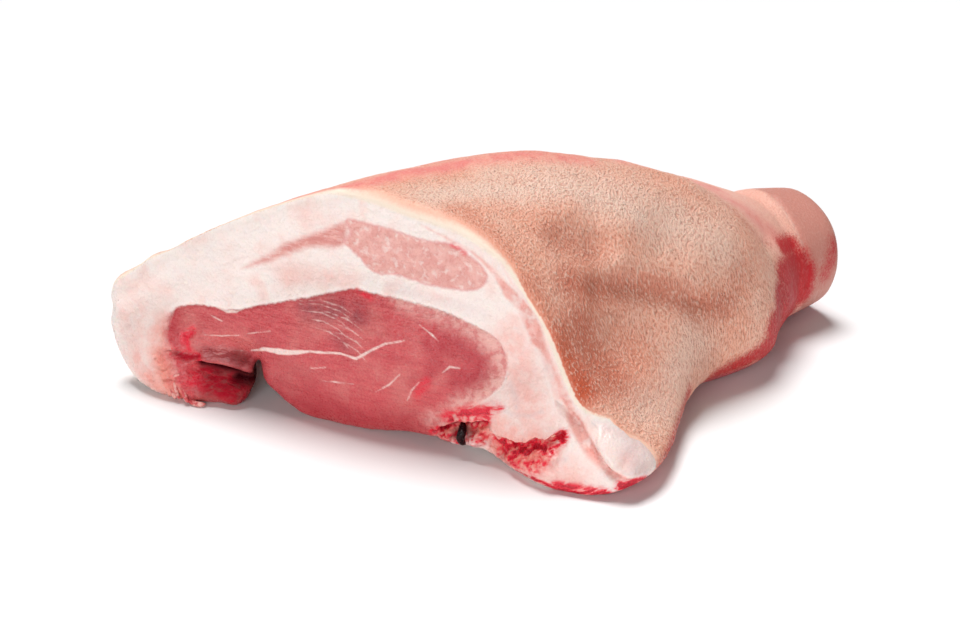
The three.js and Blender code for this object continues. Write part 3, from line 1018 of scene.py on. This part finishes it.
def ripple(graph, size, seed, stretch=(1, 1, 1), detail=2.0):
    """Noise between -0.5 and 0.5 at the surface, with blots of that size."""
    spot = graph.node("GeometryNodeInputPosition").outputs[0]
    scaled = graph.node("ShaderNodeVectorMath", {0: spot, 1: stretch}, operation="MULTIPLY").outputs[0]
    inputs = {"Vector": scaled, "W": seed, "Scale": graph.math("DIVIDE", 1.0, size), "Detail": detail}
    noise = graph.node("ShaderNodeTexNoise", inputs, noise_dimensions="4D").outputs[0]
    return graph.math("SUBTRACT", noise, 0.5)


def keep(graph, geometry, name, value):
    """Geometry with a number stored for each vertex."""
    inputs = {"Geometry": geometry, "Name": name}
    made = graph.node("GeometryNodeStoreNamedAttribute", inputs, data_type="FLOAT")
    graph.feed(next(socket for socket in made.inputs if socket.name == "Value" and socket.enabled), value)
    return made.outputs[0]


def close_tree(graph, inputs, output, geometry, height):
    """Raises the surface along its normal and ends the tree."""
    normal = graph.node("GeometryNodeInputNormal").outputs[0]
    offset = graph.node("ShaderNodeVectorMath", {0: normal, "Scale": height}, operation="SCALE").outputs[0]
    moved = graph.node("GeometryNodeSetPosition", {"Geometry": geometry, "Offset": offset}).outputs[0]
    real = graph.node("GeometryNodeRealizeInstances", {"Geometry": moved}).outputs[0]
    coated = graph.node("GeometryNodeSetMaterial", {"Geometry": real, "Material": inputs["Material"]})
    graph.feed(output.inputs[0], coated.outputs[0])
    return graph.tree


def rind_relief():
    """Tree that creases the skin."""
    graph, inputs, output = relief_tree("Rind relief", RIND_SIZES)
    fine = ripple(graph, inputs["Crease size"], inputs["Seed"], (1, 1, 0.6), 3.0)
    broad = ripple(graph, graph.times(inputs["Crease size"], 3.0), inputs["Seed"])
    swell = graph.math("MULTIPLY_ADD", broad, 1.5, fine)
    height = graph.times(graph.times(swell, inputs["Crease depth"]), 2.0)
    height = graph.times(height, stored(graph, "pebbled"))
    return close_tree(graph, inputs, output, inputs["Geometry"], height)


def flesh_relief():
    """Tree that makes fat lumpy, lean fibrous and crags torn."""
    graph, inputs, output = relief_tree("Flesh relief", FLESH_SIZES)
    seed = inputs["Seed"]
    lumps = ripple(graph, inputs["Lump size"], seed, detail=4.0)
    fibres = ripple(graph, inputs["Fibre size"], seed, FIBRE_STRETCH, 3.0)
    tears = ripple(graph, inputs["Tear size"], seed, detail=2.0)
    kept = keep(graph, keep(graph, inputs["Geometry"], "lumps", lumps), "tears", tears)
    lumps = graph.times(lumps, inputs["Lump depth"])
    fibres = graph.times(fibres, inputs["Fibre depth"])
    tears = graph.times(tears, inputs["Tear depth"])
    lean_part = graph.rise(stored(graph, "lean"), -1.0, 1.0)
    seam = graph.rise(graph.math("ABSOLUTE", stored(graph, "lean")), 0.0, 2.0, -0.4 * MM, 0.0)
    height = graph.math("MULTIPLY_ADD", fibres, lean_part, lumps)
    height = graph.math("MULTIPLY_ADD", tears, stored(graph, "torn"), height)
    height = graph.math("ADD", height, seam)
    height = graph.times(height, graph.rise(stored(graph, "edge"), 0.0, 3.0))
    return close_tree(graph, inputs, output, kept, height)


def size_values(sizes, labels):
    """Sizes by the labels of a tree's inputs."""
    return {label: getattr(sizes, label.lower().replace(" ", "_")) for label in labels}


def apply_relief(piece, tree, values):
    """Runs a relief tree on a piece and keeps the result as a plain mesh."""
    modifier = piece.modifiers.new("Relief", "NODES")
    modifier.node_group = tree
    for item in tree.interface.items_tree:
        if item.in_out == "INPUT" and item.name in values:
            modifier[item.identifier] = values[item.name]
    plain_mesh(piece)


class PORK_OT_flesh(bpy.types.Operator):
    """Flesh of the joint: the sawn face with its muscles in fat, the underside and the shank's cut end"""

    bl_idname = "pork.flesh"
    bl_label = "Flesh"

    def execute(self, context):
        sizes = context.scene.joint_sizes
        piece = joint_copy("pork_flesh")
        mesh = piece.data
        for level in range(len(WIDEST)):
            densify(mesh, *self.worked(mesh, level))
        spots, sawn, cut = carve(mesh, -1, sizes.dive)
        face = spots[:, 1:]
        hidden = spots[:, 0] > SAWN_REACH
        sinew_and_painted_glint = np.max([band(face, path) for path in (*SINEWS_AND_PAINTED_GLINTS, *threads())], axis=0)
        write_field(mesh, "edge", np.where(hidden, HIDDEN_SHARE * cut, cut))
        write_field(mesh, "lean", np.where(hidden, WELL_INSIDE, lean_depth(face)))
        for name, depth in (("upper_lean", inside(face, UPPER_MUSCLE)), ("wedge", inside(face, UPPER_WEDGE)),
                            ("skin_lean", band(face, SKIN_MUSCLE)), ("sinew_and_painted_glint", sinew_and_painted_glint)):
            write_field(mesh, name, np.where(hidden, WELL_OUTSIDE, depth))
        cream = smooth_step(abs(sawn), CREAM_REACH, 0) * (1 - smooth_step(face[:, 1], *RIM_ENDS))
        # Painted shade of the fold and the ledges
        shade = np.maximum(wash(face, DEEP_SHADE), ledge_shade(face))
        write_field(mesh, "cream", np.where(hidden, 0, cream))
        write_field(mesh, "deep", np.where(hidden, 0, shade))
        for name, strokes in (
                ("blood", BLOOD), ("red_lean", RED_LEAN), ("purple", PURPLE), ("pale_grain", PALE_GRAIN),
                ("pink_fat", PINK_FAT), ("torn", TORN), ("painted_fat_shade", PAINTED_FAT_SHADE)):
            write_field(mesh, name, np.where(hidden, 0, wash(face, strokes)))
        material = flesh_material(sizes, context.scene.joint_colours)
        values = {**size_values(sizes, FLESH_SIZES), "Seed": FLESH_SEED, "Material": material}
        apply_relief(piece, flesh_relief(), values)
        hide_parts(NODE)
        finish(piece, material)
        return {"FINISHED"}

    def worked(self, mesh, level):
        """Which faces need that level of detail, and how often their new points are smoothed."""
        cut, spots, turns, widths = face_cut(mesh)
        face = spots[:, 1:]
        hollow = np.linalg.norm(spots - HOLLOW, axis=1) < HOLLOW_RADIUS
        sawn = (cut > -CUT_MARGIN) & (spots[:, 0] < SAWN_REACH) & ((-turns[:, 0] > FACE_TURN) | hollow)
        chosen = sawn & (widths > WIDEST[level])
        if level == 1:
            rims = np.maximum(inside(face, UPPER_MUSCLE), inside(face, UPPER_WEDGE))
            near = np.maximum.reduce([lean_depth(face), rims, band(face, SKIN_MUSCLE)])
            chosen &= (near > -LEAN_MARGIN) | (abs(cut) < CUT_MARGIN) | (face[:, 1] < CRAG_HEIGHT)
        if level == 2:
            chosen &= wash(face, TORN) > LEAST_TORN
        return chosen, len(WIDEST) - 1 - level


class PORK_OT_rind(bpy.types.Operator):
    """Rind of the joint: the skin over its top, elbow flap and shank"""

    bl_idname = "pork.rind"
    bl_label = "Rind"

    def execute(self, context):
        sizes = context.scene.joint_sizes
        piece = joint_copy("pork_rind")
        mesh = piece.data
        for most_cut, least_turn, end, passes in RIND_LEVELS:
            cut, spots, turns, widths = face_cut(mesh)
            shown = (cut < most_cut) & (turns @ SHOWN_SIDE > least_turn) & (spots[:, 0] < end)
            densify(mesh, shown & (widths > WIDEST[0]), passes)
        spots, sawn, cut = carve(mesh, 1, sizes.dive)
        along, across, up = spots.T
        for name, strokes in (("flush", FLUSH), ("ridge", RIDGE_PINK), ("tan", TAN), ("pale", PALE_SKIN_AND_PAINTED_LIGHT),
                              ("painted_shade_on_skin", BROWN_SHADE)):
            write_field(mesh, name, wash(spots, strokes))
        width = RIM_WIDTHS[0] + smooth_step(up, *RIM_WIDENS) * (RIM_WIDTHS[1] - RIM_WIDTHS[0])
        rim = from_edge(spots, sawn) / width + smooth_step(up, *RIM_ENDS)
        neck, shank = (smooth_step(along + slant * across, *span) for slant, span in (NECK, SHANK))
        rough = (1 - NECK_SMOOTH * neck) * (1 - SHANK_SMOOTH * shank)
        rough *= 1 - RIDGE_SMOOTH * wash(spots, RIDGE_PINK)
        rough *= smooth_step(rim, *GRAIN_FROM_RIM) * smooth_step(cut, *GRAIN_FROM_CUT)
        write_field(mesh, "neck", neck)
        write_field(mesh, "shank", shank)
        write_field(mesh, "rim", rim)
        write_field(mesh, "pebbled", rough)
        material = rind_material(sizes, context.scene.joint_colours)
        values = {**size_values(sizes, RIND_SIZES), "Seed": RIND_SEED, "Material": material}
        apply_relief(piece, rind_relief(), values)
        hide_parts(NODE)
        finish(piece, material)
        return {"FINISHED"}


def strand(radius, path):
    """A closed round strand along a curve, thinner at its ends, as points and faces."""
    knots = np.array(path, float)
    share = np.linspace(0, len(knots) - 1, STRAND_RINGS)
    fit = np.polynomial.polynomial.polyfit(np.arange(len(knots)), knots, len(knots) - 1)
    spine = np.polynomial.polynomial.polyval(share, fit).T
    along = np.gradient(spine, axis=0)
    along /= np.linalg.norm(along, axis=1)[:, None]
    aside = np.cross(along, STRAND_ASIDE)
    aside /= np.linalg.norm(aside, axis=1)[:, None]
    above = np.cross(aside, along)
    thick = radius * np.sqrt(np.clip(1 - np.linspace(-1, 1, STRAND_RINGS) ** 4, STRAND_TIP ** 2, 1))
    turn = np.linspace(0, 2 * np.pi, STRAND_SIDES, endpoint=False)
    rings = spine[:, None] + thick[:, None, None] * (
        np.cos(turn)[None, :, None] * aside[:, None] + np.sin(turn)[None, :, None] * above[:, None])
    faces = [tuple(range(STRAND_SIDES))]
    for ring in range(STRAND_RINGS - 1):
        for side in range(STRAND_SIDES):
            first = ring * STRAND_SIDES + side
            second = ring * STRAND_SIDES + (side + 1) % STRAND_SIDES
            faces.append((second, first, first + STRAND_SIDES, second + STRAND_SIDES))
    last = (STRAND_RINGS - 1) * STRAND_SIDES
    faces.append(tuple(range(last + STRAND_SIDES - 1, last - 1, -1)))
    return rings.reshape(-1, 3), faces


def strand_material(name, first, second, roughness):
    """Wet mottled strands."""
    material, graph, spot = new_material(name)
    blots = graph.noise(spot, 3 * MM, detail=2)
    shader = {"Base Color": graph.mix(graph.rise(blots, 0.35, 0.65), first, second), "Roughness": roughness,
              "Specular IOR Level": 0.2, "Subsurface Weight": 0.1, "Subsurface Radius": (0.003, 0.001, 0.001)}
    close_material(graph, shader, blots, 0.8 * MM)
    return material


class PORK_OT_trimmings(bpy.types.Operator):
    """Clotted vein and loose shreds at the cut"""

    bl_idname = "pork.trimmings"
    bl_label = "Trimmings"

    def execute(self, context):
        colours = context.scene.joint_colours
        self.strands("pork_vein", VEIN, strand_material("vein", colours.vein, colours.deep, 0.15))
        self.strands("pork_shreds", SHREDS, strand_material("shreds", colours.pink_fat, colours.lean, 0.3))
        return {"FINISHED"}

    def strands(self, name, strokes, material):
        """One piece of round strands."""
        points, faces = [], []
        for radius, path in strokes:
            rings, sides = strand(radius, path)
            faces += [tuple(len(points) + index for index in side) for side in sides]
            points += [MEASURED_FROM + Vector(spot) * MM for spot in rings]
        mesh = bpy.data.meshes.new(name)
        mesh.from_pydata(points, [], faces)
        piece = new_piece(name, mesh)
        finish(piece, material)


class PORK_OT_stage(bpy.types.Operator):
    """Pale floor, soft lights and the camera"""

    bl_idname = "pork.stage"
    bl_label = "Stage"

    def execute(self, context):
        stage = context.scene.stage_settings
        self.floor(stage)
        self.sun(stage)
        self.front_light(stage)
        world = bpy.data.worlds.new("studio")
        world.use_nodes = True
        background = world.node_tree.nodes["Background"]
        background.inputs["Color"].default_value = (1, 1, 1, 1)
        background.inputs["Strength"].default_value = stage.sky
        context.scene.world = world
        context.scene.view_settings.view_transform = "Standard"
        lens = bpy.data.cameras.new("camera")
        lens.lens = stage.lens
        camera = new_piece("camera", lens)
        camera.location = stage.camera_place
        camera.rotation_euler = (math.pi / 2 - stage.elevation, 0, stage.azimuth)
        context.scene.camera = camera
        return {"FINISHED"}

    def floor(self, stage):
        """A plain square floor."""
        half = stage.floor_size / 2
        mesh = bpy.data.meshes.new("floor")
        corners = [(-half, -half, 0), (half, -half, 0), (half, half, 0), (-half, half, 0)]
        mesh.from_pydata(corners, [], [(0, 1, 2, 3)])
        floor = new_piece("floor", mesh)
        material, graph, _ = new_material("floor")
        shader = graph.node("ShaderNodeBsdfPrincipled", {"Base Color": stage.floor, "Roughness": 0.9})
        graph.node("ShaderNodeOutputMaterial", {"Surface": shader.outputs[0]})
        mesh.materials.append(material)
        floor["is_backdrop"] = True

    def sun(self, stage):
        """Wide soft light from above, without a fall-off over the floor."""
        lamp = bpy.data.lights.new("top", "SUN")
        lamp.angle = stage.top_width
        lamp.energy = stage.top_strength
        light = new_piece("top", lamp)
        light.rotation_euler = Vector(stage.top_from).to_track_quat("Z", "Y").to_euler()

    def front_light(self, stage):
        """Low soft light before the sawn face."""
        lamp = bpy.data.lights.new("front", "AREA")
        lamp.size = FRONT_SIZE
        lamp.energy = stage.front_power
        light = new_piece("front", lamp)
        light.location = stage.front_place
        light.rotation_euler = (light.location - Vector(FRONT_AIM)).to_track_quat("Z", "Y").to_euler()


class PORK_PT_panel(bpy.types.Panel):
    """Sidebar panel that lists the joint's pieces and settings"""

    bl_label = "Pork shoulder joint"
    bl_idname = "PORK_PT_panel"
    bl_space_type = "VIEW_3D"
    bl_region_type = "UI"
    bl_category = "Joint"

    def draw(self, context):
        for operator in OPERATORS:
            self.layout.operator(operator.bl_idname)
        for name in SETTINGS:
            group = getattr(context.scene, name)
            for key in type(group).__annotations__:
                self.layout.prop(group, key)


OPERATORS = (PORK_OT_flesh, PORK_OT_rind, PORK_OT_trimmings, PORK_OT_stage)
SETTINGS = {"joint_sizes": JointSizes, "joint_colours": JointColours, "stage_settings": StageSettings}


def register():
    """Registers the classes and hangs the settings on the scene."""
    for item in (*SETTINGS.values(), *OPERATORS, PORK_PT_panel):
        bpy.utils.register_class(item)
    for name, group in SETTINGS.items():
        setattr(bpy.types.Scene, name, bpy.props.PointerProperty(type=group))


def unregister():
    """Takes the settings off the scene and unregisters the classes."""
    for name in SETTINGS:
        delattr(bpy.types.Scene, name)
    for item in reversed((*SETTINGS.values(), *OPERATORS, PORK_PT_panel)):
        bpy.utils.unregister_class(item)


def main():
    register()
    packed_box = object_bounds()
    bpy.ops.pork.flesh()
    bpy.ops.pork.rind()
    bpy.ops.pork.trimmings()
    bpy.ops.pork.stage()
    boxes = {"cad": packed_box, "visual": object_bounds()}
    {name: [list(corner) for corner in box] for name, box in boxes.items()}


if __name__ == "__main__":
    main()
